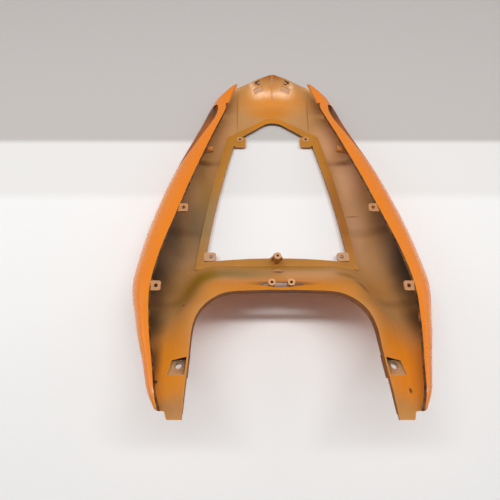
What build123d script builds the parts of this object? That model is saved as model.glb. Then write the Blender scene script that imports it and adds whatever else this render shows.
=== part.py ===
# Motorcycle tail fairing: one moulded ABS shell, lying with its inside up.
# X runs across the bike, +Y from the two front arms to the tail, and +Z out of the inside.
# It is drawn with the outside of the pillion floor on Z = 0 and the foot of the crossbar at Y = 0,
# then moved so that the origin is the middle of its lowest plane.
from build123d import *
import math
import os

# Moulding
WALL = 3.0
MID_WALL = WALL / 2

# Ends
ARM_TIP_Y = -199.5
ARM_STEP = 7.5
ARM_STEP_X = 116.0
ARM_STEP_R = 2.0
TAIL_TIP_Y = 331.0
TAIL_SWEEP_ANGLE = 18.0
TAIL_FLANK_X = 64.0
TAIL_FLANK_ANGLE = 42.0
TAIL_LEAN = 25.0
TAIL_TIP_R = 22.0

# Crossbar between the seat gap and the pillion floor
CROSSBAR_ANGLE = 54.0
CROSSBAR_FOOT_Y = -5.7

# Seat gap between the arms, with a flange that hangs from its edge
SEAT_GAP_HALF = 101.0
SEAT_GAP_CORNER_Y = -124.0
SEAT_EDGE_Y = -64.5
SEAT_FLANGE_DEPTH = 16.0
SEAT_FLANGE_TAPER = 4.2

# Pillion opening, on a flange raised into the inside that dies out towards the tail
OPENING_FRONT_HALF = 101.0
OPENING_FRONT_Y = 2.0
OPENING_FRONT_BOW = 6.0
OPENING_REAR_HALF = 61.0
OPENING_SHOULDER_Y = 210.0
OPENING_APEX_Y = 253.0
OPENING_SIDE_BOW = 4.0
OPENING_APEX_R = 30.0
OPENING_CORNER_R = 8.0
FLANGE_SIDE = 13.0
FLANGE_FRONT = 11.5
FLANGE_REAR = 9.0
FLANGE_RISE_FRONT = 7.0
FLANGE_RISE_REAR = 2.4

# Fixing tabs in the corners of the opening
LOWER_TAB_INSET = 8.8
LOWER_TAB_SETBACK = 2.0
LOWER_TAB_X = OPENING_FRONT_HALF - LOWER_TAB_INSET
LOWER_TAB_Y = OPENING_FRONT_Y + LOWER_TAB_SETBACK
LOWER_TAB_SIZE = 13.0
LOWER_TAB_RISE = 0.8
LOWER_TAB_LAP = 1.5
LOWER_TAB_HOLE_D = 5.5
UPPER_TAB_INSET = 7.0
UPPER_TAB_SETBACK = 3.0
UPPER_TAB_X = OPENING_REAR_HALF - UPPER_TAB_INSET
UPPER_TAB_Y = OPENING_SHOULDER_Y - UPPER_TAB_SETBACK
UPPER_TAB_WIDTH = 19.0
UPPER_TAB_LENGTH = 19.0
UPPER_TAB_HOLE_OFFSET = 4.5
UPPER_TAB_HOLE_D = 4.6
UPPER_TAB_RING_D = 9.6
UPPER_TAB_RING_RISE = 1.2
TAB_CORNER_R = 3.5

# Screw boss on the front edge of the opening, between two curved webs
EDGE_BOSS_D = 9.4
EDGE_BOSS_HOLE_D = 3.4
EDGE_BOSS_HEIGHT = 22.0
EDGE_BOSS_Y = -2.4
EDGE_BOSS_WEB_HALF = 10.0

# Crossbar: lock hole, then a pointed slot with two screw bosses in it
LOCK_HOLE_D = 17.0
LOCK_HOLE_Y = -26.0
SLOT_LENGTH = 54.0
SLOT_WIDTH = 10.0
SLOT_Y = -55.8
SLOT_BOSS_PITCH = 23.0
SLOT_BOSS_D = 8.4
SLOT_BOSS_HOLE_D = 3.6
SLOT_BOSS_Y = -53.8
SLOT_BOSS_TOP_Z = 78.0
SLOT_BOSS_LENGTH = 20.0

# Bolt pockets sunk in the arms
POCKET_HOLE_X = 111.6
POCKET_Y = -150.0
POCKET_SIDE_WALL = 2.0
POCKET_WIDTH = 16.0
POCKET_LENGTH = 18.0
POCKET_SKEW = 2.0
POCKET_SLANT = 3.3
POCKET_DEPTH = 4.5
POCKET_TILT = 20.0
POCKET_HOLE_D = 6.5
POCKET_RING_D = 12.0
POCKET_RING_RISE = 0.8

# Tabs that reach in from the lips
LIP_TAB_STATIONS = (-60.0, 52.5)
LIP_TAB_REACH = 12.0
LIP_TAB_WIDTH = 11.5
LIP_TAB_HOLE_INSET = 6.5
LIP_TAB_DROP = 1.2
LIP_TAB_HOLE_D = 4.8
LIP_TAB_CORNER_R = 2.5

# Air vents scooped into the flanks, each with an outlet at its blunt end and a boss on its back
VENT_FRONT = (143.5, 134.0, 39.0)
VENT_REAR = (99.0, 272.0, 32.0)
VENT_R = 17.0
VENT_OUTLET_D = 12.0
VENT_OUTLET_Y = 261.0
VENT_BOSS_BASE = (133.0, 168.0, 28.0)
VENT_BOSS_END = (93.0, 168.5, 38.0)
VENT_BOSS_D = 9.0
VENT_BOSS_HOLE_D = 3.6

# Tail: lamp slots with hooks, shallow pads beside them, centre crease, and clip notches in the lips
TAIL_SLOT_X = 24.8
TAIL_SLOT_Y = 319.0
TAIL_SLOT_LENGTH = 8.5
TAIL_SLOT_WIDTH = 4.0
TAIL_SLOT_DEPTH = 2.0
TAIL_HOOK_HEIGHT = 4.5
TAIL_HOOK_THICK = 1.8
TAIL_PAD_X = 23.0
TAIL_PAD_Y = 308.0
TAIL_PAD_LENGTH = 17.0
TAIL_PAD_WIDTH = 8.0
TAIL_CREASE_LENGTH = 46.0
TAIL_CREASE_WIDTH = 1.6
TAIL_RECESS_DEPTH = 0.8
CLIP_Y = 262.0
CLIP_LENGTH = 9.0
CLIP_DEPTH = 2.6
CLIP_RIB_LENGTH = 24.0
CLIP_RIB_HEIGHT = 5.0
CLIP_RIB_THICK = 1.8

# Longer than the part in any direction, for cuts that go right through
TALL = 600.0


def rail(*points):
    """Smooth guide curve through (y, value) points that never swings past them."""
    slopes = [(b[1] - a[1]) / (b[0] - a[0]) for a, b in zip(points, points[1:])]
    tangents = [slopes[0]]
    for left, right in zip(slopes, slopes[1:]):
        tangents.append(0.0 if left * right <= 0 else 2 * left * right / (left + right))
    tangents.append(slopes[-1])

    def value(y):
        i = sum(1 for p in points[1:-1] if p[0] <= y)
        (y0, v0), (y1, v1) = points[i], points[i + 1]
        span = y1 - y0
        t = (y - y0) / span
        start = (1 + 2 * t) * (1 - t) ** 2 * v0 + t * (1 - t) ** 2 * span * tangents[i]
        end = t * t * (3 - 2 * t) * v1 + t * t * (t - 1) * span * tangents[i + 1]
        return start + end

    return value


def crossbar_z(y):
    """Height of the crossbar's outside on the centre line."""
    return (CROSSBAR_FOOT_Y - y) * math.tan(math.radians(CROSSBAR_ANGLE))


# Guide curves of the outside surface on the right half, as (y, value) points:
# the lip, the widest line of the flank, the foot of the flank, and the floor inboard of it
lip_x = rail((-205, 117), (-189, 123.5), (-177, 127), (-162, 130.5), (-139, 137.4), (-107, 146), (-61, 153),
             (68, 128), (160, 104), (235, 82), (290, 66), (314, 58), (340, 46))
lip_z = rail((-205, 132), (-187, 127), (-153, 118), (-120, 104), (-60, 86), (52, 68), (180, 46), (290, 29),
             (314, 29), (340, 44))
wide_x = rail((-205, 123), (-189, 129.5), (-173, 136), (-137, 151.5), (-100, 167), (-45, 182), (0, 179),
              (95, 160), (200, 126), (270, 101), (306, 86), (340, 66))
wide_z = rail((-205, 124), (-155, 106), (-130, 93), (-100, 76), (-45, 52), (0, 41), (95, 30), (200, 19),
              (290, 14), (314, 18), (340, 34))
foot_x = rail((-205, 105), (-173, 118), (-150, 125), (-100, 137), (-40, 133), (0, 125), (95, 116), (200, 92),
              (306, 62), (340, 44))
foot_z = rail((-205, 116), (-150, 94), (-130, 81), (-100, 57), (-70, 32), (-40, 12), (-10, 1.2), (0, 0.5),
              (262, 0.5), (290, 3.5), (314, 9), (340, 24))
shoulder_x = rail((-205, 77), (-150, 84), (-110, 91), (-90, 90), (-70, 80), (-30, 80), (0, 75), (200, 55),
                  (340, 20))
floor_z = rail((-205, 133), (-150, 104.5), (-110, 94), (-90, 88.5), (-72, crossbar_z(-66)),
               (-60, crossbar_z(-60)), (-30, crossbar_z(-30)), (-12, crossbar_z(-12)), (-5, 1.6), (2, 0),
               (258, 0), (290, 6), (316, 17.5), (331, 28), (340, 35))

# Where the cross-sections stand, closer together at the bends
STATIONS = (-204, -180, -155, -130, -110, -95, -82, -72, -62, -50, -38, -26, -18, -12, -7, -2, 3, 9, 18, 35,
            60, 90, 125, 160, 195, 225, 248, 262, 274, 288, 302, 316, 328, 339)


def outline(y):
    """Outside of one cross-section as (x, z) points from the right lip round to the left one."""
    diagonal = math.sqrt(0.5)
    lip, wide, foot = (lip_x(y), lip_z(y)), (wide_x(y), wide_z(y)), (foot_x(y), foot_z(y))
    shoulder = (shoulder_x(y), floor_z(y))
    half = [
        lip,
        (lip[0] + (wide[0] - lip[0]) * diagonal, wide[1] + (lip[1] - wide[1]) * diagonal),
        wide,
        (foot[0] + (wide[0] - foot[0]) * diagonal, wide[1] - (wide[1] - foot[1]) * diagonal),
        foot,
        ((foot[0] + shoulder[0]) / 2, (foot[1] + shoulder[1]) / 2),
        shoulder,
        (shoulder[0] / 2, shoulder[1]),
    ]
    return half + [(0.0, floor_z(y))] + [(-x, z) for x, z in reversed(half)]


def section(y, inset=0.0):
    """The same points in space, moved into the shell until they lie inset deep, square to its surface."""
    points, before, after = outline(y), outline(y - 1), outline(y + 1)
    last = len(points) - 1
    moved = []
    for i, (x, z) in enumerate(points):
        ahead, behind = points[min(i + 1, last)], points[max(i - 1, 0)]
        across = Vector(ahead[0] - behind[0], 0, ahead[1] - behind[1])
        along = Vector(after[i][0] - before[i][0], 2, after[i][1] - before[i][1])
        normal = along.cross(across).normalized()
        flat = Vector(normal.X, 0, normal.Z)
        moved.append(Vector(x, y, z) + flat * (inset / flat.length ** 2))
    return moved


def curve(points):
    """Smooth edge whose points share one spacing, so that all sections loft into one face."""
    return Edge.make_spline(points, parameters=[i / (len(points) - 1) for i in range(len(points))])


def skin():
    """Lofted shell with an even wall, from one lip round under the floor to the other."""
    wires = []
    for y in STATIONS:
        outer, inner = section(y), section(y, WALL)
        wires.append(Wire([
            curve(outer),
            Edge.make_line(outer[-1], inner[-1]),
            curve(inner[::-1]),
            Edge.make_line(inner[0], outer[0]),
        ]))
    return Solid.make_loft(wires)


def cavity(inset, height=150.0):
    """Block that fills the shell between its lips, down to inset inside its outside surface."""
    wires = []
    for y in STATIONS:
        points = section(y, inset)
        right, left = points[0], points[-1]
        lid_right, lid_left = right + Vector(0, 0, height), left + Vector(0, 0, height)
        wires.append(Wire([
            curve(points),
            Edge.make_line(left, lid_left),
            Edge.make_line(lid_left, lid_right),
            Edge.make_line(lid_right, right),
        ]))
    return Solid.make_loft(wires)


def prism(face, low, high):
    """Upright solid over a plan outline."""
    return extrude(Pos(0, 0, low) * face, high - low, dir=(0, 0, 1))


def through(face):
    return prism(face, -TALL, TALL)


def right_half(shape):
    return split(shape, bisect_by=Plane.YZ, keep=Keep.TOP)


def polygon(*points):
    return Face(Wire.make_polygon(points))


def rounded_plate(x0, y0, x1, y1, radius):
    return Pos((x0 + x1) / 2, (y0 + y1) / 2) * RectangleRounded(abs(x1 - x0), abs(y1 - y0), radius)


def round_hole(x, y, diameter):
    return through(Pos(x, y) * Circle(diameter / 2))


# The part is the same on both sides, so its right half is modelled and then mirrored
body = right_half(skin())
inner_block = right_half(cavity(MID_WALL))


def inside_z(x, y):
    """Height of the inside surface over a plan position."""
    hits = body.find_intersection_points(Axis((x, y, -TALL), (0, 0, 1)))
    return sorted(point.Z for point, _ in hits)[1]


def opening_face(side=0.0, front=0.0, rear=0.0):
    """Plan outline of the pillion opening, grown outwards by the three margins."""
    front_half, rear_half = OPENING_FRONT_HALF + side, OPENING_REAR_HALF + side
    front_y, apex_y = OPENING_FRONT_Y - front, OPENING_APEX_Y + rear
    corner_y, shoulder_y = front_y - OPENING_FRONT_BOW, OPENING_SHOULDER_Y + rear * 0.8
    middle_x = (front_half + rear_half) / 2 + OPENING_SIDE_BOW
    middle_y = (corner_y + shoulder_y) / 2
    face = Face(Wire([
        Edge.make_three_point_arc((-front_half, corner_y), (0, front_y), (front_half, corner_y)),
        Edge.make_three_point_arc((front_half, corner_y), (middle_x, middle_y), (rear_half, shoulder_y)),
        Edge.make_line((rear_half, shoulder_y), (0, apex_y)),
        Edge.make_line((0, apex_y), (-rear_half, shoulder_y)),
        Edge.make_three_point_arc((-rear_half, shoulder_y), (-middle_x, middle_y), (-front_half, corner_y)),
    ]))
    *corners, apex = face.vertices().sort_by(Axis.Y)
    return face.fillet_2d(OPENING_APEX_R, [apex]).fillet_2d(OPENING_CORNER_R, corners)


def raised_flange():
    """Sheet round the opening and the step that lifts it, joined to the shell in mid-wall."""
    tilt = math.atan2(FLANGE_RISE_FRONT - FLANGE_RISE_REAR, OPENING_APEX_Y)
    underside = Plane((0, 0, FLANGE_RISE_FRONT), (1, 0, 0), (0, math.sin(tilt), math.cos(tilt)))
    outside = opening_face(FLANGE_SIDE, FLANGE_FRONT, FLANGE_REAR)
    hole = opening_face(FLANGE_SIDE - WALL, FLANGE_FRONT - WALL, FLANGE_REAR - WALL)
    raised = split(prism(outside, 0, TALL), bisect_by=underside.offset(WALL), keep=Keep.BOTTOM)
    hollow = split(prism(hole, -TALL, TALL), bisect_by=underside, keep=Keep.BOTTOM)
    return (raised - hollow) & inner_block, through(hole)


def flange_z(y):
    """Underside of the raised flange."""
    return FLANGE_RISE_FRONT - (FLANGE_RISE_FRONT - FLANGE_RISE_REAR) * y / OPENING_APEX_Y


def lower_tab():
    half = LOWER_TAB_SIZE / 2
    face = rounded_plate(LOWER_TAB_X - half, LOWER_TAB_Y - half, OPENING_FRONT_HALF + LOWER_TAB_LAP,
                         LOWER_TAB_Y + half, TAB_CORNER_R)
    bottom = flange_z(LOWER_TAB_Y) + LOWER_TAB_RISE
    return prism(face, bottom, bottom + WALL)


def upper_tab():
    half_x, half_y = UPPER_TAB_WIDTH / 2, UPPER_TAB_LENGTH / 2
    face = rounded_plate(UPPER_TAB_X - half_x, UPPER_TAB_Y - half_y, UPPER_TAB_X + half_x,
                         UPPER_TAB_Y + half_y, TAB_CORNER_R)
    bottom = flange_z(UPPER_TAB_Y)
    ring = Pos(UPPER_TAB_X, UPPER_TAB_Y + UPPER_TAB_HOLE_OFFSET) * Circle(UPPER_TAB_RING_D / 2)
    return prism(face, bottom, bottom + WALL) + prism(ring, bottom, bottom + WALL + UPPER_TAB_RING_RISE)


def edge_boss():
    """Upright screw boss and the bell-shaped web that stiffens it along the opening's edge."""
    foot = FLANGE_RISE_FRONT + MID_WALL
    top = FLANGE_RISE_FRONT + WALL + EDGE_BOSS_HEIGHT
    tube = prism(Pos(0, EDGE_BOSS_Y) * Circle(EDGE_BOSS_D / 2), foot, top)
    shoulder, neck = top - WALL, EDGE_BOSS_D / 2 - 0.5
    right = Edge.make_spline([Vector(EDGE_BOSS_WEB_HALF, foot), Vector(neck, shoulder)],
                             tangents=[Vector(-0.5, 1), Vector(-0.15, 1)])
    left = right.mirror(Plane.YZ)
    web = Face(Wire([
        right,
        Edge.make_line((neck, shoulder), (-neck, shoulder)),
        left,
        Edge.make_line((-EDGE_BOSS_WEB_HALF, foot), (EDGE_BOSS_WEB_HALF, foot)),
    ]))
    rim = Plane((0, EDGE_BOSS_Y + EDGE_BOSS_D / 2, 0), (1, 0, 0), (0, -1, 0))
    return tube + extrude(rim * web, WALL, dir=(0, -1, 0))


def slot_boss():
    centre = Pos(SLOT_BOSS_PITCH / 2, SLOT_BOSS_Y)
    return prism(centre * Circle(SLOT_BOSS_D / 2), SLOT_BOSS_TOP_Z - SLOT_BOSS_LENGTH, SLOT_BOSS_TOP_Z)


def pointed_slot():
    half, bulge = SLOT_LENGTH / 2, SLOT_WIDTH / 2
    lens = Face(Wire([
        Edge.make_three_point_arc((-half, SLOT_Y), (0, SLOT_Y + bulge), (half, SLOT_Y)),
        Edge.make_three_point_arc((half, SLOT_Y), (0, SLOT_Y - bulge), (-half, SLOT_Y)),
    ]))
    return through(lens)


def lock_hole():
    rise = math.radians(CROSSBAR_ANGLE)
    centre, normal = (0, LOCK_HOLE_Y, crossbar_z(LOCK_HOLE_Y)), (0, math.sin(rise), math.cos(rise))
    square_to_bar = Plane(centre, (1, 0, 0), normal)
    return extrude(square_to_bar * Circle(LOCK_HOLE_D / 2), 4 * WALL, both=True)


def pocket_face(margin=0.0):
    """Plan outline of the right bolt pocket, which lies against the seat flange."""
    near = SEAT_GAP_HALF + POCKET_SIDE_WALL - margin
    far = SEAT_GAP_HALF + POCKET_SIDE_WALL + POCKET_WIDTH + margin
    rear, front = POCKET_Y + POCKET_LENGTH / 2 + margin, POCKET_Y - POCKET_LENGTH / 2 - margin
    return polygon((near, rear), (near, front), (far + POCKET_SKEW, front), (far, rear - POCKET_SLANT))


def pocket():
    """Cup under the arm's floor, what is hollowed out of it, and its bolt hole, square to the tilted pad."""
    tilt = math.radians(POCKET_TILT)
    depth = inside_z(POCKET_HOLE_X, POCKET_Y) - POCKET_DEPTH
    pad = Plane((POCKET_HOLE_X, POCKET_Y, depth), (1, 0, 0), (0, math.sin(tilt), math.cos(tilt)))
    block = prism(pocket_face(WALL) - seat_gap_face(), -TALL, depth + POCKET_LENGTH)
    cup = split(block, bisect_by=pad.offset(-WALL), keep=Keep.TOP)
    hollow = split(through(pocket_face()), bisect_by=pad, keep=Keep.TOP)
    ring = extrude(pad * Circle(POCKET_RING_D / 2), POCKET_RING_RISE)
    hole = extrude(pad * Circle(POCKET_HOLE_D / 2), 2 * WALL, both=True)
    return cup - inner_block, hollow - ring, hole


def lip_tab(y):
    x, top = lip_x(y), lip_z(y) - LIP_TAB_DROP
    half = LIP_TAB_WIDTH / 2
    face = rounded_plate(x - LIP_TAB_REACH, y - half, x + 2 * WALL, y + half, LIP_TAB_CORNER_R)
    face -= Pos(x - LIP_TAB_HOLE_INSET, y) * Circle(LIP_TAB_HOLE_D / 2)
    return prism(face, top - WALL, top)


def vent_body(grow=0.0):
    """Long drop shape, slim in front and blunt behind, whose axis runs just outside the flank."""
    start, end = Vector(*VENT_FRONT), Vector(*VENT_REAR)
    axis = (end - start).normalized()
    length, radius = (end - start).length + 2 * grow, VENT_R + grow
    side = Edge.make_spline([
        Vector(0, 0, 0),
        Vector(radius * 0.55, 0, length * 0.25),
        Vector(radius * 0.9, 0, length * 0.55),
        Vector(radius, 0, length * 0.8),
        Vector(0, 0, length),
    ], tangents=[Vector(1, 0, 3), Vector(-1, 0, 0)])
    drop = revolve(Face(Wire([side, Edge.make_line((0, 0, length), (0, 0, 0))])), Axis.Z)
    return Plane(start - axis * grow, z_dir=axis).location * drop


def vent_outlet():
    """Hole from the blunt end of the scoop down into the inside."""
    start, end = Vector(*VENT_FRONT), Vector(*VENT_REAR)
    centre = start + (end - start) * ((VENT_OUTLET_Y - start.Y) / (end.Y - start.Y))
    inward = Plane(centre, z_dir=(-1, 0, -1))
    return extrude(inward * Circle(VENT_OUTLET_D / 2), VENT_R + WALL)


def vent_boss():
    """Long boss on the back of the scoop, and the screw hole right through it."""
    base, end = Vector(*VENT_BOSS_BASE), Vector(*VENT_BOSS_END)
    foot = Plane(base, z_dir=(end - base).normalized())
    length = (end - base).length
    return (extrude(foot * Circle(VENT_BOSS_D / 2), length),
            extrude(foot * Circle(VENT_BOSS_HOLE_D / 2), length))


def along_tail(x, y, length, width):
    """Rectangle whose long side runs with the right half of the swept tail edge."""
    return Pos(x, y) * Rot(0, 0, -TAIL_SWEEP_ANGLE) * Rectangle(length, width)


def tail_recesses():
    """Shallow pad, half of the crease up the middle, and the blind lamp slot, all sunk into the inside."""
    pad = through(along_tail(TAIL_PAD_X, TAIL_PAD_Y, TAIL_PAD_LENGTH, TAIL_PAD_WIDTH))
    crease_middle = Pos(0, TAIL_TIP_Y - TAIL_CREASE_LENGTH / 2)
    crease = through(crease_middle * Rectangle(TAIL_CREASE_WIDTH, TAIL_CREASE_LENGTH))
    slot = through(along_tail(TAIL_SLOT_X, TAIL_SLOT_Y, TAIL_SLOT_LENGTH, TAIL_SLOT_WIDTH))
    shallow = right_half(cavity(WALL - TAIL_RECESS_DEPTH))
    deep = right_half(cavity(WALL - TAIL_SLOT_DEPTH))
    return [pad & shallow, crease & shallow, slot & deep]


def tail_hook():
    """Small upright hook at the front edge of the right lamp slot."""
    y = TAIL_SLOT_Y - TAIL_SLOT_WIDTH / 2 - TAIL_HOOK_THICK / 2
    x = TAIL_SLOT_X - TAIL_SLOT_LENGTH / 4
    foot = inside_z(x, y) - MID_WALL
    post = prism(along_tail(x, y, TAIL_SLOT_LENGTH / 2, TAIL_HOOK_THICK), foot, foot + TAIL_HOOK_HEIGHT)
    nose = prism(along_tail(x, y + TAIL_HOOK_THICK / 2, TAIL_SLOT_LENGTH / 2, 2 * TAIL_HOOK_THICK),
                 foot + TAIL_HOOK_HEIGHT - TAIL_HOOK_THICK, foot + TAIL_HOOK_HEIGHT)
    return post + nose


def clip_notch():
    """Notch in the lip's edge where a clip hooks on."""
    x, z = lip_x(CLIP_Y), lip_z(CLIP_Y)
    return Pos(x, CLIP_Y, z) * Box(2 * CLIP_DEPTH, CLIP_LENGTH, 2 * CLIP_RIB_HEIGHT)


def clip_rib():
    """Low rib that hangs from the lip in front of its clip notch."""
    rear = CLIP_Y - CLIP_LENGTH / 2
    front = rear - CLIP_RIB_LENGTH
    top = [Vector(lip_x(y) + WALL, y, lip_z(y) - MID_WALL) for y in (rear, front)]
    bottom = [point - Vector(0, 0, CLIP_RIB_HEIGHT) for point in reversed(top)]
    return extrude(polygon(*top, *bottom), CLIP_RIB_THICK, dir=(1, 0, 0))


def seat_gap_face(margin=0.0):
    """Plan outline of the seat gap, grown into the material by margin."""
    half, corner, edge = SEAT_GAP_HALF + margin, SEAT_GAP_CORNER_Y, SEAT_EDGE_Y + margin
    reach = edge - corner
    bend = [Vector(half, corner), Vector(half - 9, corner + 0.62 * reach),
            Vector(half - 31, corner + 0.9 * reach), Vector(half - 60, corner + 0.985 * reach)]
    across = [*bend, Vector(0, edge), *[Vector(-p.X, p.Y) for p in reversed(bend)]]
    front = ARM_TIP_Y - 10 * WALL
    return Face(Wire([
        Edge.make_spline(across, tangents=[Vector(0, 1), Vector(0, -1)]),
        Edge.make_line((-half, corner), (-half, front)),
        Edge.make_line((-half, front), (half, front)),
        Edge.make_line((half, front), (half, corner)),
    ]))


def hanging_flange():
    """Wall that hangs from the edge of the seat gap, deepest under the crossbar."""
    wall = through(seat_gap_face(WALL) - seat_gap_face())
    hinge = Pos(0, SEAT_EDGE_Y, 0)
    tapered = hinge * Rot(-SEAT_FLANGE_TAPER, 0, 0) * hinge.inverse() * inner_block
    return (wall & (Pos(0, 0, -SEAT_FLANGE_DEPTH) * tapered)) - inner_block


def tail_end():
    """Everything behind the swept tail edge, which leans forward as it rises."""
    far = TALL / 2
    flank_y = -TAIL_FLANK_X * math.tan(math.radians(TAIL_SWEEP_ANGLE))
    side_y = flank_y - (far - TAIL_FLANK_X) * math.tan(math.radians(TAIL_FLANK_ANGLE))
    swept = polygon((0, 0), (TAIL_FLANK_X, flank_y), (far, side_y), (far, far),
                    (-far, far), (-far, side_y), (-TAIL_FLANK_X, flank_y))
    tip = swept.vertices().sort_by_distance((0, 0, 0))[0]
    lean = math.radians(TAIL_LEAN)
    plane = Plane((0, TAIL_TIP_Y, floor_z(TAIL_TIP_Y)), (1, 0, 0), (0, -math.sin(lean), math.cos(lean)))
    return extrude(plane * swept.fillet_2d(TAIL_TIP_R, [tip]), far, both=True)


def arm_end():
    """Everything in front of the right arm's end, which steps back and rounds off outboard."""
    far, step_y = TALL / 2, ARM_TIP_Y + ARM_STEP
    side_y = step_y + 4 * WALL
    outer = wide_x(side_y) + 1
    round_start = ARM_STEP_X + 2
    bulge = ((round_start + 2 * outer) / 3, step_y + 4)
    face = Face(Wire([
        Edge.make_line((0, ARM_TIP_Y), (ARM_STEP_X - 1, ARM_TIP_Y)),
        Edge.make_line((ARM_STEP_X - 1, ARM_TIP_Y), (round_start, step_y)),
        Edge.make_three_point_arc((round_start, step_y), bulge, (outer, side_y)),
        Edge.make_line((outer, side_y), (far, side_y)),
        Edge.make_line((far, side_y), (far, -far)),
        Edge.make_line((far, -far), (0, -far)),
        Edge.make_line((0, -far), (0, ARM_TIP_Y)),
    ]))
    step_corners = face.vertices().sort_by_distance((ARM_STEP_X, (ARM_TIP_Y + step_y) / 2, 0))[:2]
    return through(face.fillet_2d(ARM_STEP_R, step_corners))


# Shell with its opening and gap cut, then what is moulded onto it, one shape at a time
flange, flange_hole = raised_flange()
cup, cup_hollow, cup_hole = pocket()
boss, boss_hole = vent_boss()
half = body - flange_hole - through(seat_gap_face())
moulded_on = [
    flange,
    hanging_flange(),
    cup,
    vent_body(WALL) & inner_block,
    boss & inner_block,
    tail_hook(),
    clip_rib(),
    *[lip_tab(y) for y in LIP_TAB_STATIONS],
]
for shape in moulded_on:
    half += shape

# Holes, hollows and ends
cut_out = [
    through(opening_face()),
    pointed_slot(),
    lock_hole(),
    *tail_recesses(),
    cup_hollow,
    cup_hole,
    vent_body(),
    vent_outlet(),
    boss_hole,
    arm_end(),
    tail_end(),
    clip_notch(),
]
for shape in cut_out:
    half -= shape

# Tabs and bosses that stand in the openings
for shape in (lower_tab(), upper_tab(), slot_boss(), right_half(edge_boss())):
    half += shape
for hole in (
    round_hole(LOWER_TAB_X, LOWER_TAB_Y, LOWER_TAB_HOLE_D),
    round_hole(UPPER_TAB_X, UPPER_TAB_Y + UPPER_TAB_HOLE_OFFSET, UPPER_TAB_HOLE_D),
    round_hole(SLOT_BOSS_PITCH / 2, SLOT_BOSS_Y, SLOT_BOSS_HOLE_D),
    round_hole(0, EDGE_BOSS_Y, EDGE_BOSS_HOLE_D),
):
    half -= hole

# Whole part, moved to its origin
fairing = half + mirror(half, about=Plane.YZ)
extent = fairing.bounding_box()
fairing = Pos(0, -extent.center().Y, -extent.min.Z) * fairing
os.makedirs("parts", exist_ok=True)
export_step(fairing, "parts/tail_fairing.step")
print("solids", len(fairing.solids()), "valid", fairing.is_valid, "volume", round(fairing.volume))
print("moved", round(-extent.center().Y, 3), round(-extent.min.Z, 3), "size", extent.size)
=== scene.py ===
# %% [markdown]
# # A motorcycle tail fairing in orange paint
# The part is the rear body panel of a sports motorcycle: one moulded shell with two arms that reach
# forward round the rider's seat, a crossbar, a framed opening for the pillion pad and a swept tail.
# It lies with its inside up. Its shape comes finished from the CAD model, so this lesson is about
# finish: gloss lacquer outside, uneven overspray inside, and dark plastic wherever an edge is cut,
# rubbed or chipped.

# %% Load the frame
import bmesh
import bpy
import math
from mathutils import Matrix, Vector


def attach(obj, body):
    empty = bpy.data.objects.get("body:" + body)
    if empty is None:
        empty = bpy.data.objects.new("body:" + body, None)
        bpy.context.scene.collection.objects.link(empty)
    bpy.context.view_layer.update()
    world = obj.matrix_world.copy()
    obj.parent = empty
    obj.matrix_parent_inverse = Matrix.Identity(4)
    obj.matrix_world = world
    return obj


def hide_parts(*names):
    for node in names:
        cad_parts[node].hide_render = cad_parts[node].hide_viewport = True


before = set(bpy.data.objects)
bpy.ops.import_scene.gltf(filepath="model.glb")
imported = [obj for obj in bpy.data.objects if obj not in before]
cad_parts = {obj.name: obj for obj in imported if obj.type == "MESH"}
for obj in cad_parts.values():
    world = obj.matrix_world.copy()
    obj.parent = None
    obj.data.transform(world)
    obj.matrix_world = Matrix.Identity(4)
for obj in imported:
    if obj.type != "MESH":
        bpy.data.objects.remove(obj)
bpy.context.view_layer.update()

# %% [markdown]
# ## Real measures
# A maker reads this part from the foot of its crossbar, so places below are given in millimetres
# from there: X across the bike, Y from the arms to the tail, Z up from the outside of the pillion
# floor. One helper turns such a place into the model's metres, and another turns it back. A third
# gives a texture its scale from the real size of what it draws.

# %% Places and sizes in millimetres
CROSSBAR_FOOT = Vector((0, -0.065283, 0.000149))


def place(x, y, z):
    """A point given in millimetres from the foot of the crossbar."""
    return Vector((x, y, z)) / 1000 + CROSSBAR_FOOT


def in_mm(point):
    """A point of the model, in millimetres from the foot of the crossbar."""
    return (point - CROSSBAR_FOOT) * 1000


def scale_for(size_mm):
    """The scale at which a texture on object coordinates draws marks of about this size."""
    return 1000 / size_mm


print("arm pad at", [round(v, 4) for v in place(111.6, -150, 95)])

# %% [markdown]
# ## The camera
# The camera looks steeply down at the part from above the rider's seat, a little to the left of its
# middle. A moderately wide lens is what makes the near arms look large and the tail small. The
# frame is square, so the lens and the sensor's width fix the view in both directions.

# %% Camera
LENS_MM, SENSOR_MM = 26, 36
RIGHT = Vector((1, 0, 0))
UP = Vector((0, 0.926, 0.378)).normalized()
AHEAD = Vector((0, 0.378, -0.926)).normalized()
camera = bpy.data.objects.new("camera", bpy.data.cameras.new("camera"))
camera.data.sensor_width = SENSOR_MM
camera.data.lens = LENS_MM
camera.matrix_world = Matrix((RIGHT, UP, -AHEAD)).transposed().to_4x4()
camera.location = place(-37.5, -180, 486.8)
bpy.context.scene.collection.objects.link(camera)
bpy.context.scene.camera = camera
print("camera", camera.data.lens, "mm, height", round(camera.location.z, 3), "m")

# %% [markdown]
# ## The shell as one smooth surface
# CAD hands over loose triangles. A copy of them is merged at their corners, so that light can run
# smoothly over the lofted skin, and every corner sharper than a moulded radius is marked as an
# edge. That keeps the wall's rims, tabs and bosses crisp, as they are on the real moulding.

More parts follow.
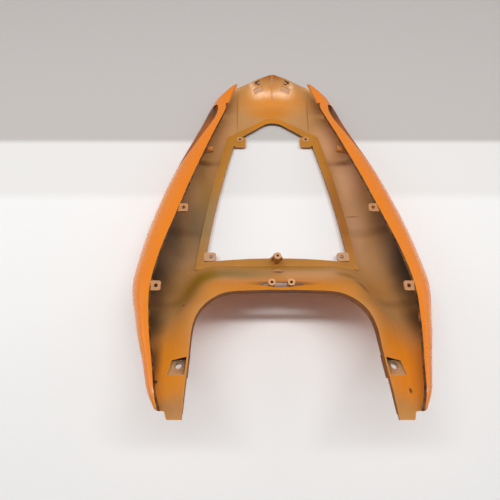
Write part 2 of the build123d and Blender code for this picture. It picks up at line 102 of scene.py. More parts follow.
# %% Merge and smooth the shell
EDGE_ANGLE = math.radians(27)
SAME_POINT, NO_LENGTH = 2e-6, 1e-6  # metres
body = bmesh.new()
body.from_mesh(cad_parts["tail_fairing"].data)
bmesh.ops.remove_doubles(body, verts=body.verts, dist=SAME_POINT)
bmesh.ops.dissolve_degenerate(body, edges=body.edges, dist=NO_LENGTH)
for edge in body.edges:
    edge.smooth = len(edge.link_faces) == 2 and edge.calc_face_angle(0) < EDGE_ANGLE
for face in body.faces:
    face.smooth = True
open_edges = sum(len(edge.link_faces) != 2 for edge in body.edges)
print("shell", len(body.faces), "faces,", open_edges, "open edges")

# %% [markdown]
# ## Which face gets which finish
# A painter sees this part as a few fields: the show side, the inside that only caught overspray,
# the scoops, and the narrow rims between them. The marked edges already bound those fields, so
# faces that meet smoothly are gathered into patches, and a patch's size and facing say which field
# it belongs to. Painting by hand would give the same fields, but would have to be repeated after
# each change of the shape.

# %% Gather smooth patches
TINY_AREA = 1e-12  # square metres, so that nothing is divided by zero


def gather_patches(mesh):
    """Groups of faces that meet across unmarked edges, each with area, mean facing and extent."""
    found, seen = [], set()
    for start in mesh.faces:
        if start in seen:
            continue
        seen.add(start)
        waiting, members = [start], []
        while waiting:
            face = waiting.pop()
            members.append(face)
            for edge in face.edges:
                for other in edge.link_faces if edge.smooth else ():
                    if other not in seen:
                        seen.add(other)
                        waiting.append(other)
        area = sum(face.calc_area() for face in members)
        facing = sum((face.normal * face.calc_area() for face in members), Vector())
        spots = [vert.co for face in members for vert in face.verts]
        low = Vector([min(spot[i] for spot in spots) for i in range(3)])
        high = Vector([max(spot[i] for spot in spots) for i in range(3)])
        found.append({"faces": members, "area": area * 1e6, "facing": facing / max(area, TINY_AREA),
                      "low": in_mm(low), "high": in_mm(high)})
    return sorted(found, key=lambda patch: -patch["area"])


patches = gather_patches(body)
print(len(patches), "patches, the largest", [round(patch["area"]) for patch in patches[:6]], "mm2")

# %% [markdown]
# ## Reading the patches
# The fields differ so much in area that most can be told by it alone. A rim is also known by its
# upright face, and the outlet hole in a scoop by its place. Each limit lies between the sizes that
# the patches of this shell have. What no rule claims is part of a tab or a boss.

# %% Limits between the fields
SKIN = 50000  # mm2, only the outside and the inside of the shell are larger
FRAME_BAND = 6000  # mm2, the raised frame of the opening and its underside
SCOOP_WALL, SCOOP_START_Y = 3000, (120, 150)  # mm2, and mm where a scoop begins
FLANGE = 1000  # mm2, the seat flange and the long steps beside the opening
LIP_RIM, LIP_RISE = 400, 20  # mm2, and mm from its lowest to its highest point
OPENING_RIM, OPENING_RISE = 200, 8  # mm2 and mm in the same way
OUTLET_X, OUTLET_Y = (80, 118), (235, 285)  # mm, round the hole at a scoop's rear end
SQUARE_ON = 0.8  # cosine of the 37 degrees within which a patch faces one way


def between(value, limits):
    """Whether a value lies between two limits."""
    return limits[0] < value < limits[1]


print("a scoop begins", SCOOP_START_Y, "mm behind the crossbar's foot")

# %% Sort the patches into fields
FIELDS = range(7)
LACQUER, OVERSPRAY, RIM, TAB, SEAT_EDGE, SCOOP, FRAME = FIELDS


def field_of(patch):
    """The field of a patch, read from its area, its facing and its place."""
    area, facing = patch["area"], patch["facing"]
    middle, rise = (patch["low"] + patch["high"]) / 2, patch["high"].z - patch["low"].z
    if area > SKIN:
        return LACQUER if facing.z < 0 else OVERSPRAY
    if area > SCOOP_WALL and between(patch["low"].y, SCOOP_START_Y):
        return SCOOP
    if area > FRAME_BAND:
        return FRAME if facing.z > 0 else LACQUER
    if area > FLANGE:
        return SEAT_EDGE
    if facing.z < -SQUARE_ON:
        return LACQUER
    if area > LIP_RIM and rise > LIP_RISE and abs(facing.x) > SQUARE_ON:
        return RIM
    if area > OPENING_RIM and rise < OPENING_RISE and facing.xy.length > SQUARE_ON:
        return RIM
    if between(abs(middle.x), OUTLET_X) and between(middle.y, OUTLET_Y):
        return SCOOP
    return TAB


fields = [field_of(patch) for patch in patches]
for patch, field in zip(patches, fields):
    for face in patch["faces"]:
        face.material_index = field
print("patches per field", [fields.count(field) for field in FIELDS])

# %% [markdown]
# ## The shell's own object
# The merged shell takes the place of the CAD node and rides on the same body, so it moves as the
# CAD part does. Its mesh is left at the origin, with its place in its points, so a pattern on
# object coordinates can't slide.

# %% Replace the CAD node
shell_mesh = bpy.data.meshes.new("fairing_shell")
body.to_mesh(shell_mesh)
body.free()
shell = bpy.data.objects.new("fairing_shell", shell_mesh)
bpy.context.scene.collection.objects.link(shell)
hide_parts("tail_fairing")
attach(shell, "root")
print(shell.name, len(shell_mesh.polygons), "faces")

# %% [markdown]
# ## Colours and nodes
# Paint makers give colours as they look on a screen, so every colour below is an sRGB hex value,
# and one function turns it into the linear light that the shader works in. Another adds a node
# with its settings, and a third, which also serves the shader, gives a node its values and links.

# %% Helpers for materials
MIX_COLOUR = 2  # where a Mix node of colours has its result


def paint(code):
    """Linear colour of an sRGB hex value."""
    parts = [int(code[i:i + 2], 16) / 255 for i in (1, 3, 5)]
    return (*[c / 12.92 if c <= 0.04045 else ((c + 0.055) / 1.055) ** 2.4 for c in parts], 1.0)


def feed(tree, node, inputs):
    """Set each input of a node to a value, or link it where the value is a node's output."""
    for key, value in dict(inputs).items():
        if isinstance(value, bpy.types.NodeSocket):
            tree.links.new(value, node.inputs[key])
        else:
            node.inputs[key].default_value = value


def add(tree, kind, inputs=(), **settings):
    """A node of this kind with its settings, values and links."""
    made = tree.nodes.new(kind)
    for name, value in settings.items():
        setattr(made, name, value)
    feed(tree, made, inputs)
    return made


def new_finish(name):
    """A material with an empty node tree, its tree, its shader and its object coordinates."""
    material = bpy.data.materials.new(name)
    material.use_nodes = True
    tree = material.node_tree
    tree.nodes.clear()
    shader = add(tree, "ShaderNodeBsdfPrincipled")
    add(tree, "ShaderNodeOutputMaterial", {"Surface": shader.outputs["BSDF"]})
    spot = add(tree, "ShaderNodeTexCoord").outputs["Object"]
    return material, tree, shader, spot


print("orange in linear light", [round(c, 3) for c in paint("#E8871E")])

# %% [markdown]
# ## A coat that is never one colour
# A hand-sprayed coat is thicker here and thinner there, so its colour drifts between two near
# shades. A noise does that. Its size is that of the drift on the real part: a hand's breadth on the
# lacquer, and a fingertip on a dusted tab.

# %% Drifting shades
def drifting(tree, spot, darker, lighter, size_mm, detail=5.0, roughness=0.5):
    """A noise of this size, and a colour that drifts with it between two shades."""
    noise = add(tree, "ShaderNodeTexNoise", {"Vector": spot, "Scale": scale_for(size_mm),
                                             "Detail": detail, "Roughness": roughness})
    shades = add(tree, "ShaderNodeMix", {"Factor": noise.outputs["Fac"], "A": paint(darker),
                                         "B": paint(lighter)}, data_type="RGBA")
    return noise.outputs["Fac"], shades.outputs[MIX_COLOUR]


print("a drift of 25 mm comes", scale_for(25), "times in a metre")

# %% [markdown]
# ## Patches of mist, dirt and wear
# Overspray lies in soft clouds where the gun passed, and dirt gathers in others. Each is described
# as a painter would point at it: a place, how far it spreads in each direction, a colour and how
# strongly it covers. A noise bends the clouds' outlines, so that none looks like an egg. All of
# them read object coordinates, so they stay on the part from every side.

# %% Soft clouds
CLOUD_BENDS_MM = 35.71
CLOUD_RIM, CLOUD_CORE = 1.0, 0.1  # in spreads from a cloud's middle


def cloud_layers(tree, spot, ground, clouds, ragged=0.25):
    """The ground colour under clouds, each (x, y, z, spread x, y, z in mm, colour, cover)."""
    noise = add(tree, "ShaderNodeTexNoise", {"Vector": spot, "Scale": scale_for(CLOUD_BENDS_MM),
                                             "Detail": 4.0, "Roughness": 0.6})
    centred = add(tree, "ShaderNodeVectorMath", {0: noise.outputs["Color"], 1: (0.5, 0.5, 0.5)},
                  operation="SUBTRACT")
    colour = ground
    for x, y, z, spread_x, spread_y, spread_z, code, cover in clouds:
        per_spread = Vector((1000 / spread_x, 1000 / spread_y, 1000 / spread_z))
        offset = add(tree, "ShaderNodeVectorMath", {0: spot, 1: place(x, y, z)},
                     operation="SUBTRACT")
        scaled = add(tree, "ShaderNodeVectorMath", {0: offset.outputs[0], 1: per_spread},
                     operation="MULTIPLY")
        bent = add(tree, "ShaderNodeVectorMath",
                   {0: centred.outputs[0], 1: (ragged,) * 3, 2: scaled.outputs[0]},
                   operation="MULTIPLY_ADD")
        reach = add(tree, "ShaderNodeVectorMath", {0: bent.outputs[0]}, operation="LENGTH")
        mask = add(tree, "ShaderNodeMapRange",
                   {"Value": reach.outputs["Value"], "From Min": CLOUD_RIM,
                    "From Max": CLOUD_CORE, "To Min": 0.0, "To Max": cover},
                   interpolation_type="SMOOTHSTEP")
        colour = add(tree, "ShaderNodeMix",
                     {"Factor": mask.outputs["Result"], "A": colour, "B": paint(code)},
                     data_type="RGBA").outputs[MIX_COLOUR]
    return colour


print("clouds are bent by a noise about", round(CLOUD_BENDS_MM), "mm across")

# %% [markdown]
# ## Where an edge is rubbed, and where it gets a painted highlight
# Hands, rags and the bench reach a corner first, so wear follows the edges. A bevel node looks a
# short way round each point, and where the surface it finds turns away from the point's own, an
# edge is near. The noise breaks the band up into scuffs. On the seat edge and the frame of the
# opening the band is pale and is also a painted highlight along the corners. Painting the wear onto
# the mesh would need far more points than the flat walls have.

# %% Edge wear and painted edge highlights
FAR_FROM_EDGE, AT_EDGE = 0.985, 0.86  # how far the two normals agree
SCUFF_NONE, SCUFF_FULL = 0.36, 0.56  # of the noise that breaks up the band


def edge_wear_and_highlight(tree, spot, colour, code, reach_mm, scuff_mm):
    """The colour with another along the wall's corners, in scuffs of this size: rubbed wear, and a
    painted highlight where the seat edge and the frame lay a pale colour.
    """
    rounded = add(tree, "ShaderNodeBevel", {"Radius": reach_mm / 1000}, samples=4)
    flat = add(tree, "ShaderNodeNewGeometry")
    agreement = add(tree, "ShaderNodeVectorMath",
                    {0: rounded.outputs["Normal"], 1: flat.outputs["Normal"]},
                    operation="DOT_PRODUCT")
    band = add(tree, "ShaderNodeMapRange", {"Value": agreement.outputs["Value"],
                                           "From Min": FAR_FROM_EDGE, "From Max": AT_EDGE})
    scuff = add(tree, "ShaderNodeTexNoise", {"Vector": spot, "Scale": scale_for(scuff_mm),
                                             "Detail": 4.0, "Roughness": 0.65})
    kept = add(tree, "ShaderNodeMapRange", {"Value": scuff.outputs["Fac"],
                                           "From Min": SCUFF_NONE, "From Max": SCUFF_FULL})
    rubbed = add(tree, "ShaderNodeMath", {0: band.outputs["Result"], 1: kept.outputs["Result"]},
                 operation="MULTIPLY")
    return add(tree, "ShaderNodeMix",
               {"Factor": rubbed.outputs[0], "A": colour, "B": paint(code)},
               data_type="RGBA").outputs[MIX_COLOUR]


print("an edge shows where the normals agree to less than", FAR_FROM_EDGE)

# %% [markdown]
# ## Orange gloss lacquer on ABS
# The show side is two-pack lacquer sprayed over primer: a warm orange base under a clear coat.
# Sprayed lacquer never lies quite flat, and its orange peel, about 3 mm from crest to crest, is
# what breaks up the edge of a reflection. The base is slightly uneven, its left flank is painted
# lighter as a painted highlight, and dust and rubs dull the coat in places.

# %% Lacquer finish
PEEL_MM, DUST_MM = 3.03, 16.67
LACQUER_SHEEN_AND_TONES = [
    # The lighter cloud on the left flank is a painted highlight; the right flank's cloud is a tone,
    # and the arm ends are darker brown.
    (-175, 40, 40, 60, 210, 60, "#EC9234", 0.5),
    (172, -30, 45, 55, 160, 60, "#E68422", 0.5),
    (120, -196, 110, 26, 16, 26, "#7A4A20", 0.85),
    (-120, -196, 110, 26, 16, 26, "#7A4A20", 0.85),
]
lacquer, tree, shader, spot = new_finish("orange_gloss_lacquer_on_abs")
_, base = drifting(tree, spot, "#E07606", "#EA840E", size_mm=111.1, detail=3.0)
base = cloud_layers(tree, spot, base, LACQUER_SHEEN_AND_TONES, ragged=0.3)
base = edge_wear_and_highlight(tree, spot, base, "#5A3214", reach_mm=0.9, scuff_mm=9.09)
peel = add(tree, "ShaderNodeTexNoise", {"Vector": spot, "Scale": scale_for(PEEL_MM), "Detail": 1.0})
peel_bump = add(tree, "ShaderNodeBump",
                {"Height": peel.outputs["Fac"], "Strength": 0.06, "Distance": 0.0006})
dust = add(tree, "ShaderNodeTexNoise",
           {"Vector": spot, "Scale": scale_for(DUST_MM), "Detail": 6.0, "Roughness": 0.7})
dull = add(tree, "ShaderNodeMapRange", {"Value": dust.outputs["Fac"], "From Min": 0.45,
                                        "From Max": 0.75, "To Min": 0.24, "To Max": 0.42})
feed(tree, shader, {
    "Base Color": base, "Roughness": dull.outputs["Result"], "Normal": peel_bump.outputs["Normal"],
    "IOR": 1.5, "Specular IOR Level": 0.35, "Coat Weight": 0.25, "Coat Roughness": 0.12})
print("lacquer peel about", PEEL_MM, "mm")

# %% [markdown]
# ## Overspray on dark ABS
# The inside was never painted on purpose. Mist from the gun fell thickly on what faced the opening,
# thinly on the walls, and missed the deep corners under the lips, where the dark plastic still
# shows and painted shade darkens it further, as the lips overhang. It is a dry, slightly sandy
# film, so it is matte, apart from the tail, where the full wet coat reached the inside too. A later
# cloud covers an earlier one, so the coats come first, then bare places with painted shade, thin
# mist with painted light, the tail's coat with painted highlights, painted shadows and marks.

# %% Where the coats are thick, and where bare plastic and painted shade lie under the lips
FULL_COAT = [
    (0, -62, 80, 170, 62, 70, "#D07C10", 0.97),
    (122, -150, 100, 54, 110, 70, "#D87E14", 0.97),
    (-122, -150, 100, 54, 110, 70, "#D68014", 0.97),
    (0, -16, 14, 150, 26, 30, "#A87422", 0.9),
    (30, -38, 44, 70, 18, 24, "#D2924A", 0.6),
    (134, -34, 42, 34, 40, 36, "#D28012", 0.85),
]
OLIVE_FILM_OVER_PRIMER = [
    (-100, -42, 35, 52, 42, 42, "#A8781A", 0.9),
    (-116, -60, 50, 44, 40, 40, "#8A6420", 0.65),
    (-64, -34, 38, 84, 30, 40, "#8A6818", 0.9),
    (-107, 112, 6, 22, 64, 20, "#A47A34", 0.8),
    (-114, 58, 6, 26, 70, 22, "#846A48", 0.85),
]
# Dark under the lips: bare plastic where the mist missed, and painted shade of the overhanging
# lips.
BARE_PLASTIC_AND_PAINTED_SHADE_UNDER_LIPS = [
    (-146, 32, 32, 48, 92, 58, "#221A12", 0.99),
    (-164, -27, 38, 42, 78, 58, "#241B13", 0.99),
    (-154, -89, 72, 28, 72, 58, "#42301E", 0.95),
    (-139, -144, 104, 13, 74, 36, "#4A3824", 0.9),
    (-128, 92, 34, 30, 52, 40, "#5E4A38", 0.85),
    (-112, 150, 30, 20, 34, 32, "#4A3424", 0.8),
    (-98, 245, 32, 20, 60, 30, "#4A3A2C", 0.85),
    (174, 11, 36, 42, 84, 58, "#38261A", 0.98),
    (174, -29, 42, 34, 76, 58, "#38281A", 0.98),
    (162, -89, 74, 24, 72, 58, "#543414", 0.93),
    (152, 62, 32, 34, 62, 42, "#5C3C24", 0.9),
    (124, 150, 36, 14, 60, 30, "#5A3A22", 0.8),
    (94, 250, 32, 18, 50, 30, "#483224", 0.85),
]
print(len(FULL_COAT), "full coats and", len(BARE_PLASTIC_AND_PAINTED_SHADE_UNDER_LIPS), "bare places")

# %% Thin mist and painted light on the flanks, and the wet coat with painted highlights in the tail
THIN_PINKISH_MIST_AND_PAINTED_LIGHT = [
    # The two palest clouds inside the right flank are painted lighter than the mist, as painted
    # light.
    (118, 66, 8, 28, 80, 28, "#CE9A70", 0.85),
    (114, 142, 14, 32, 66, 34, "#F2BC92", 0.92),
    (88, 208, 12, 30, 62, 30, "#EEB486", 0.9),
    (-120, 112, 16, 22, 40, 24, "#C09468", 0.85),
    (-80, 218, 10, 30, 52, 26, "#D09660", 0.85),
]
WET_COAT_HIGHLIGHTS_AND_SHADE_IN_TAIL = [
    (0, 292, 8, 84, 46, 34, "#DE8C30", 0.97),
    (0, 268, 6, 56, 20, 20, "#CC7C1C", 0.85),
    # Painted highlights: the two pale clouds either side of the tail's crease.
    (-22, 304, 14, 28, 20, 18, "#EEB070", 0.75),
    (22, 304, 14, 28, 20, 18, "#EEB070", 0.75),
    (0, 331, 30, 76, 14, 22, "#A85A14", 0.95),
    # Painted shade over bare plastic: the black spots where the lips end at the tail.
    (-57, 308, 30, 8, 16, 12, "#140C08", 0.9),
    (57, 308, 30, 8, 16, 12, "#140C08", 0.9),
]
print(len(WET_COAT_HIGHLIGHTS_AND_SHADE_IN_TAIL), "clouds inside the tail")

# %% Painted shadow, smudges, specks and scuffs
PAINTED_SHADOW_AT_VENT_BOSSES_AND_SLOT = [
    # Painted shadow: black under the tubes behind the scoops and in the slot of the crossbar.
    (107, 165, 24, 26, 18, 24, "#0C0704", 0.99),
    (-108, 163, 24, 24, 16, 24, "#0C0704", 0.97),
    (0, -54, 72, 52, 7, 14, "#1A0F06", 0.95),
]
SMUDGES_AND_SCRATCHES = [
    (88, -35, 40, 24, 18, 22, "#8A5A20", 0.6),
    (101, -53, 52, 16, 16, 18, "#6E461C", 0.6),
    (115, 71, 6, 16, 1.6, 8, "#5A3E2A", 0.9),
    (-26, -38, 40, 8, 1.4, 6, "#3A2614", 0.9),
]
THIN_DARK_LINES_IN_TAIL = [
    # Thin darker lines along both sides of the tail's middle.
    (-59, 266, 9, 1.8, 56, 16, "#8A5A30", 0.9),
    (60, 258, 8, 1.8, 50, 16, "#8A5A30", 0.9),
]
SPECKS_OF_BARE_PLASTIC = [
    (-130, -41, 45, 2.6, 2.6, 9, "#1C120C", 1.0),
    (-131, -71, 60, 2.4, 3.4, 9, "#1C120C", 1.0),
    (-118, -77, 60, 2.8, 2.8, 9, "#1C120C", 1.0),
    (-105, -83, 62, 2.6, 3.0, 9, "#1C120C", 1.0),
    (-117, 116, 10, 2.4, 2.4, 7, "#1C120C", 1.0),
    (120, -174, 105, 2.4, 4.0, 9, "#1C120C", 1.0),
    (-131, -166, 105, 2.6, 2.6, 9, "#1C120C", 1.0),
]
SCUFFED_ARM_ENDS = [
    (112, -190, 122, 28, 20, 28, "#B07E44", 0.8),
    (-112, -190, 122, 28, 20, 28, "#A4774A", 0.85),
]
print(len(SPECKS_OF_BARE_PLASTIC), "specks of bare plastic")

# %% Lay the clouds over the mist
overspray, tree, shader, spot = new_finish("orange_overspray_with_painted_light_and_shade_on_dark_abs")
_, ground = drifting(tree, spot, "#B4804A", "#C89560", size_mm=71.43, roughness=0.6)
OVERSPRAY_CLOUDS = (FULL_COAT + OLIVE_FILM_OVER_PRIMER + BARE_PLASTIC_AND_PAINTED_SHADE_UNDER_LIPS
                    + THIN_PINKISH_MIST_AND_PAINTED_LIGHT + WET_COAT_HIGHLIGHTS_AND_SHADE_IN_TAIL + PAINTED_SHADOW_AT_VENT_BOSSES_AND_SLOT
                    + SMUDGES_AND_SCRATCHES + THIN_DARK_LINES_IN_TAIL + SPECKS_OF_BARE_PLASTIC
                    + SCUFFED_ARM_ENDS)
colour = cloud_layers(tree, spot, ground, OVERSPRAY_CLOUDS)
print(len(OVERSPRAY_CLOUDS), "clouds of overspray and dirt")

# %% [markdown]
# ## Specks, pale corners and sandy grain
# Dust that settled in the wet mist left a dark speck here and there, about two millimetres
# across. One cell in fourteen of a pattern scattered through space holds a speck, and it shows only
# where it touches the wall. Corners caught more of the mist and are paler. The film's real grit is
# about a tenth of a millimetre, too fine for the picture, so it is drawn ten times as coarse. Where
# the wet coat lies in the tail, the film turns glossy.

# %% Finish the overspray
SPECK_CELL_MM, SPECK_RARITY = 18.18, 0.93
SPECK_RIM, SPECK_CORE = 0.07, 0.04  # of a cell
GRIT_MM = 1.111
MATTE, GLOSSY = 0.5, 0.16
GLOSS_BEGINS, GLOSS_FULL = place(0, 262, 0).y, place(0, 292, 0).y
speckle = add(tree, "ShaderNodeTexVoronoi",
              {"Vector": spot, "Scale": scale_for(SPECK_CELL_MM), "Randomness": 1.0})
rarity = add(tree, "ShaderNodeSeparateColor", {"Color": speckle.outputs["Color"]})
chosen = add(tree, "ShaderNodeMath", {0: rarity.outputs["Red"], 1: SPECK_RARITY},
             operation="GREATER_THAN")
dot = add(tree, "ShaderNodeMapRange",
          {"Value": speckle.outputs["Distance"], "From Min": SPECK_RIM, "From Max": SPECK_CORE,
           "To Min": 0.0, "To Max": 0.8})
speck = add(tree, "ShaderNodeMath", {0: chosen.outputs[0], 1: dot.outputs["Result"]},
            operation="MULTIPLY")
colour = add(tree, "ShaderNodeMix",
             {"Factor": speck.outputs[0], "A": colour, "B": paint("#241812")},
             data_type="RGBA").outputs[MIX_COLOUR]
colour = edge_wear_and_highlight(tree, spot, colour, "#DC9A48", reach_mm=1.1, scuff_mm=14.29)
sand = add(tree, "ShaderNodeTexNoise", {"Vector": spot, "Scale": scale_for(GRIT_MM), "Detail": 2.0})
shade = add(tree, "ShaderNodeMapRange", {"Value": sand.outputs["Fac"], "From Min": 0.3,
                                         "From Max": 0.7, "To Min": 0.93, "To Max": 1.06})
colour = add(tree, "ShaderNodeVectorMath", {0: colour, "Scale": shade.outputs["Result"]},
             operation="SCALE").outputs[0]
sand_bump = add(tree, "ShaderNodeBump",
                {"Height": sand.outputs["Fac"], "Strength": 0.25, "Distance": 0.0002})
along = add(tree, "ShaderNodeSeparateXYZ", {"Vector": spot})
gloss = add(tree, "ShaderNodeMapRange",
            {"Value": along.outputs["Y"], "From Min": GLOSS_BEGINS, "From Max": GLOSS_FULL,
             "To Min": MATTE, "To Max": GLOSSY})
feed(tree, shader, {
    "Base Color": colour, "Roughness": gloss.outputs["Result"],
    "Normal": sand_bump.outputs["Normal"], "IOR": 1.5, "Specular IOR Level": 0.2})
print("sandy film about", round(GRIT_MM, 1), "mm")

# %% [markdown]
# ## Rubbed rims
# The rims of the wall are where the trimming knife and the bench have been: the paint there is
# broken, and black plastic shows beside short pale streaks of primer. The rims of the opening kept
# more of their orange.

# %% Rim finish
STREAK_MM = 11.11
ORANGE_LEFT_ROUND_OPENING = [(0, 120, 6, 108, 150, 9, "#BC7C32", 0.9)]
rim, tree, shader, spot = new_finish("rubbed_black_abs_rim")
rub = add(tree, "ShaderNodeTexNoise",
          {"Vector": spot, "Scale": scale_for(STREAK_MM), "Detail": 6.0, "Roughness": 0.7})
worn = add(tree, "ShaderNodeMapRange",
           {"Value": rub.outputs["Fac"], "From Min": 0.42, "From Max": 0.72})
streaks = add(tree, "ShaderNodeMix",
              {"Factor": worn.outputs["Result"], "A": paint("#20140C"), "B": paint("#94683C")},
              data_type="RGBA").outputs[MIX_COLOUR]
streaks = cloud_layers(tree, spot, streaks, ORANGE_LEFT_ROUND_OPENING)
rim_bump = add(tree, "ShaderNodeBump",
               {"Height": rub.outputs["Fac"], "Strength": 0.3, "Distance": 0.0004})
feed(tree, shader,
     {"Base Color": streaks, "Normal": rim_bump.outputs["Normal"], "Roughness": 0.55})
print("rim streaks about", round(STREAK_MM), "mm")

# %% [markdown]
# ## Spray-dusted tabs and bosses
# Tabs and bosses stand up into the mist, so they caught a dry, pinkish dust of primer and paint.
# The tubes behind the scoops and the tabs on the lips got more of the orange. The rear and inner
# walls of the cups in the arms and the slots in the tail are painted nearly black as painted shade.

# %% Tab finish
TAB_TONES_AND_PAINTED_SHADE = []
for side in (-1, 1):
    TAB_TONES_AND_PAINTED_SHADE += [
        (side * 146.5, -60, 83, 18, 18, 18, "#B07030", 0.9),
        (side * 125, 52.5, 65, 18, 18, 18, "#B47434", 0.9),
        (side * 90, 168, 38, 34, 16, 24, "#C27226", 0.95),
        (side * 11.5, -54, 74, 9, 9, 20, "#CC9052", 0.9),
        (side * 111, -150, 92, 20, 20, 16, "#9A6A36", 0.95),
        # Painted shade: the rear and inner walls of each cup in the arms, and the slots in the
        # tail, nearly black.
        (side * 111, -139, 96, 30, 14, 30, "#0E0906", 0.99),
        (side * 100, -150, 92, 11, 30, 30, "#140C07", 0.98),
        (side * 27, 320, 20, 9, 9, 8, "#120C08", 0.97),
    ]
TAB_TONES_AND_PAINTED_SHADE += [(0, -2, 16, 10, 10, 24, "#B4742E", 0.85)]
dusted, tree, shader, spot = new_finish("primer_dust_and_painted_shade_on_abs_tabs")
dusting, tab_colour = drifting(tree, spot, "#B47C4C", "#CE9C70", size_mm=8.333)
tab_colour = cloud_layers(tree, spot, tab_colour, TAB_TONES_AND_PAINTED_SHADE)
tab_colour = edge_wear_and_highlight(tree, spot, tab_colour, "#E2BC92", reach_mm=0.7, scuff_mm=6.25)
dust_bump = add(tree, "ShaderNodeBump", {"Height": dusting, "Strength": 0.3, "Distance": 0.0003})
feed(tree, shader,
     {"Base Color": tab_colour, "Normal": dust_bump.outputs["Normal"], "Roughness": 0.5})
print(len(TAB_TONES_AND_PAINTED_SHADE), "clouds on tabs and bosses")

# %% [markdown]
# ## The folded edge of the seat gap
# The edge that meets the rider's seat is folded down and holds a thin brown mist. Its crease
# carries a pale painted highlight, and the fold below it is painted darker downwards as painted
# shade. The long steps beside the opening stand as steeply, took the same mist and are painted
# darker as shade.

# %% Seat edge finish
# Painted shade: the fold darker downwards, and the steep steps of the arms darker.
SEAT_EDGE_PAINTED_SHADE = [
    (0, -66, 66, 120, 10, 12, "#3A1C0E", 0.85),
    (100, -150, 84, 14, 90, 16, "#6A3A12", 0.85),
    (-100, -150, 84, 14, 90, 16, "#6A3A12", 0.85),
]
seat_edge, tree, shader, spot = new_finish("thin_mist_painted_shade_and_highlight_on_seat_flange")
_, fold = drifting(tree, spot, "#7A4216", "#A0601E", size_mm=25)
fold = cloud_layers(tree, spot, fold, SEAT_EDGE_PAINTED_SHADE)
# A pale painted highlight along the crease.
fold = edge_wear_and_highlight(tree, spot, fold, "#DC9844", reach_mm=1.2, scuff_mm=16.67)
feed(tree, shader, {"Base Color": fold, "Roughness": 0.6, "Specular IOR Level": 0.2})
print(len(SEAT_EDGE_PAINTED_SHADE), "clouds on the seat edge")

# %% [markdown]
# ## The scoops
# The two scoops behind the pillion pad let air out. Their inside is painted brown as painted shade
# of the hollow, lighter towards the front on the left and nearly black at the blunt rear end, and a
# dark line of painted shade runs along the edge.

# %% Scoop finish
SCOOP_PAINTED_SHADE = [
    (-136, 150, 38, 30, 40, 30, "#A8641E", 0.7),
    (132, 160, 38, 26, 60, 26, "#7A4010", 0.8),
    (-113, 168, 33, 7, 7, 9, "#1A0E08", 0.95),
    (113, 168, 33, 7, 7, 9, "#1A0E08", 0.95),
    (-101, 256, 38, 34, 30, 40, "#080402", 1.0),
    (101, 256, 38, 34, 30, 40, "#080402", 1.0),
]
scoop, tree, shader, spot = new_finish("brown_painted_shade_in_scoop")
_, hollow = drifting(tree, spot, "#8A4A16", "#A05A1A", size_mm=33.33, detail=4.0)
hollow = cloud_layers(tree, spot, hollow, SCOOP_PAINTED_SHADE)
# A dark line of painted shade along the scoop's edge.
hollow = edge_wear_and_highlight(tree, spot, hollow, "#241208", reach_mm=1.6, scuff_mm=20)
feed(tree, shader, {"Base Color": hollow, "Roughness": 0.4})
print(len(SCOOP_PAINTED_SHADE), "clouds in the scoops")

# %% [markdown]
# ## The frame of the pillion opening
# The raised frame faces the gun squarely, so its mist is thick and golden on one side and greyish,
# over primer, on the other. Its two long corners are rubbed to a paler orange by the pillion pad
# that drops into it, and the pale band along its edges is also a painted highlight.

# %% Frame finish
FRAME_CLOUDS = [
    (-94, 60, 8, 34, 90, 20, "#96805A", 0.75),
    (-78, 150, 8, 30, 60, 20, "#B88030", 0.8),
    (94, 70, 8, 36, 120, 22, "#9A5E24", 0.8),
    (0, 2, 8, 130, 18, 22, "#A87426", 0.85),
    (0, 246, 4, 80, 24, 20, "#C87C20", 0.9),
]
frame_gold, tree, shader, spot = new_finish("gold_mist_on_opening_frame")
_, gold = drifting(tree, spot, "#A86A22", "#C4862E", size_mm=45.45, roughness=0.6)
gold = cloud_layers(tree, spot, gold, FRAME_CLOUDS)
# The pale band along the frame's edges is rubbed wear and a painted highlight.
gold = edge_wear_and_highlight(tree, spot, gold, "#E2A050", reach_mm=1.3, scuff_mm=22.22)
feed(tree, shader, {"Base Color": gold, "Roughness": 0.5, "Specular IOR Level": 0.2})
print(len(FRAME_CLOUDS), "clouds on the frame")

# %% [markdown]
# ## The finishes meet the fields
# Every face already holds the number of its field. The finishes go onto the shell in the order of
# those numbers, so each face finds its own.

# %% Give each field its finish
FINISH_OF = {LACQUER: lacquer, OVERSPRAY: overspray, RIM: rim, TAB: dusted,
             SEAT_EDGE: seat_edge, SCOOP: scoop, FRAME: frame_gold}
for field in FIELDS:
    shell_mesh.materials.append(FINISH_OF[field])
print("finishes", [finish.name for finish in shell_mesh.materials])

# %% [markdown]
# ## The floor
# The part lies on a plain pale card. Behind it the tone steps to soft grey, painted shade that
# stands for a dimmer backdrop. One plane with a colour that changes along Y does that, and needs no
# seam between two cards.

# %% Floor
FLOOR_REACH = 3  # metres each way
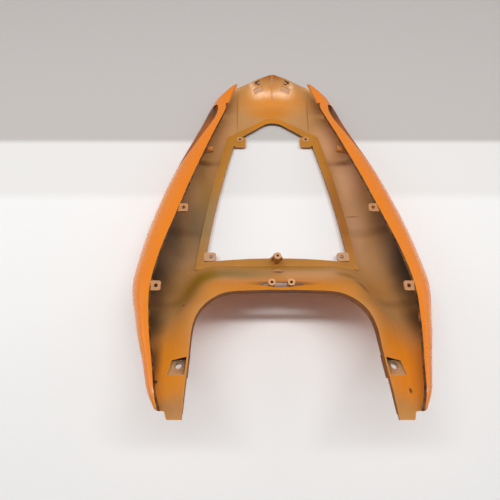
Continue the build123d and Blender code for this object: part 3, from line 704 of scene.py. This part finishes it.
# Metres along Y where a tone begins and where it is full, and its colour
CARD_PAINTED_BACKDROP_SHADE = ((0.036, 0.052, "#E8E6E4"), (0.143, 0.153, "#C0BBB8"))
floor_mesh = bpy.data.meshes.new("floor")
corners = [(-FLOOR_REACH, -FLOOR_REACH, 0), (FLOOR_REACH, -FLOOR_REACH, 0),
           (FLOOR_REACH, FLOOR_REACH, 0), (-FLOOR_REACH, FLOOR_REACH, 0)]
floor_mesh.from_pydata(corners, [], [(0, 1, 2, 3)])
floor = bpy.data.objects.new("floor", floor_mesh)
bpy.context.scene.collection.objects.link(floor)
card, tree, shader, spot = new_finish("pale_matt_card")
depth = add(tree, "ShaderNodeSeparateXYZ", {"Vector": spot})
card_colour = paint("#F3F2F1")
for begins, full, tone in CARD_PAINTED_BACKDROP_SHADE:
    step = add(tree, "ShaderNodeMapRange",
               {"Value": depth.outputs["Y"], "From Min": begins, "From Max": full})
    card_colour = add(tree, "ShaderNodeMix",
                      {"Factor": step.outputs["Result"], "A": card_colour, "B": paint(tone)},
                      data_type="RGBA").outputs[MIX_COLOUR]
feed(tree, shader, {"Base Color": card_colour, "Roughness": 0.7})
floor_mesh.materials.append(card)
print("floor", floor.dimensions[:2])

# %% [markdown]
# ## Lamps
# The lamps are what a small photo bench has: one long strip overhead, whose reflection runs along
# the flanks, and broad weak panels at the sides. Their strength is set so that a colour renders
# about as it is written. The strip is narrow from front to back, so the crossbar throws a shadow
# with a clear edge.

# %% Area lamps
# Name, place, point it faces, width and height in metres, and watts
LAMPS = [
    ("overhead_strip", (0.0, 0.2, 1.5), (0.0, 0.0, 0.0), 2.0, 0.16, 20),
    ("left_panel", (-1.3, 0.1, 0.9), (0.0, 0.0, 0.05), 1.0, 1.0, 5),
    ("right_panel", (1.3, 0.1, 0.9), (0.0, 0.0, 0.05), 1.0, 1.0, 4),
]
for name, at, to, width, height, watts in LAMPS:
    light = bpy.data.lights.new(name, "AREA")
    light.shape, light.size, light.size_y, light.energy = "RECTANGLE", width, height, watts
    lamp = bpy.data.objects.new(name, light)
    lamp.location = at
    lamp.rotation_mode = "QUATERNION"
    lamp.rotation_quaternion = (Vector(to) - Vector(at)).to_track_quat("-Z", "Y")
    bpy.context.scene.collection.objects.link(lamp)
print("lamps", [name for name, *_ in LAMPS])

# %% [markdown]
# ## The backdrop
# The backdrop is the world itself: pale where the camera or a reflection sees it, and dim as a
# light, so that it doesn't wash out the orange. The rays' own kind tells the two apart.

# %% World
AS_LIGHT, AS_SEEN = 0.18, 0.6
world = bpy.data.worlds.new("studio")
bpy.context.scene.world = world
world.use_nodes = True
tree = world.node_tree
rays = add(tree, "ShaderNodeLightPath")
seen = rays.outputs["Is Camera Ray"]
for kind in ("Is Glossy Ray", "Is Transmission Ray"):
    seen = add(tree, "ShaderNodeMath", {0: seen, 1: rays.outputs[kind]},
               operation="MAXIMUM").outputs[0]
strength = add(tree, "ShaderNodeMapRange", {"Value": seen, "To Min": AS_LIGHT, "To Max": AS_SEEN})
feed(tree, tree.nodes["Background"],
     {"Color": paint("#F4F2F0"), "Strength": strength.outputs["Result"]})
bpy.context.scene.view_settings.view_transform = "Standard"
print("world", AS_SEEN, "as seen and", AS_LIGHT, "as a light")
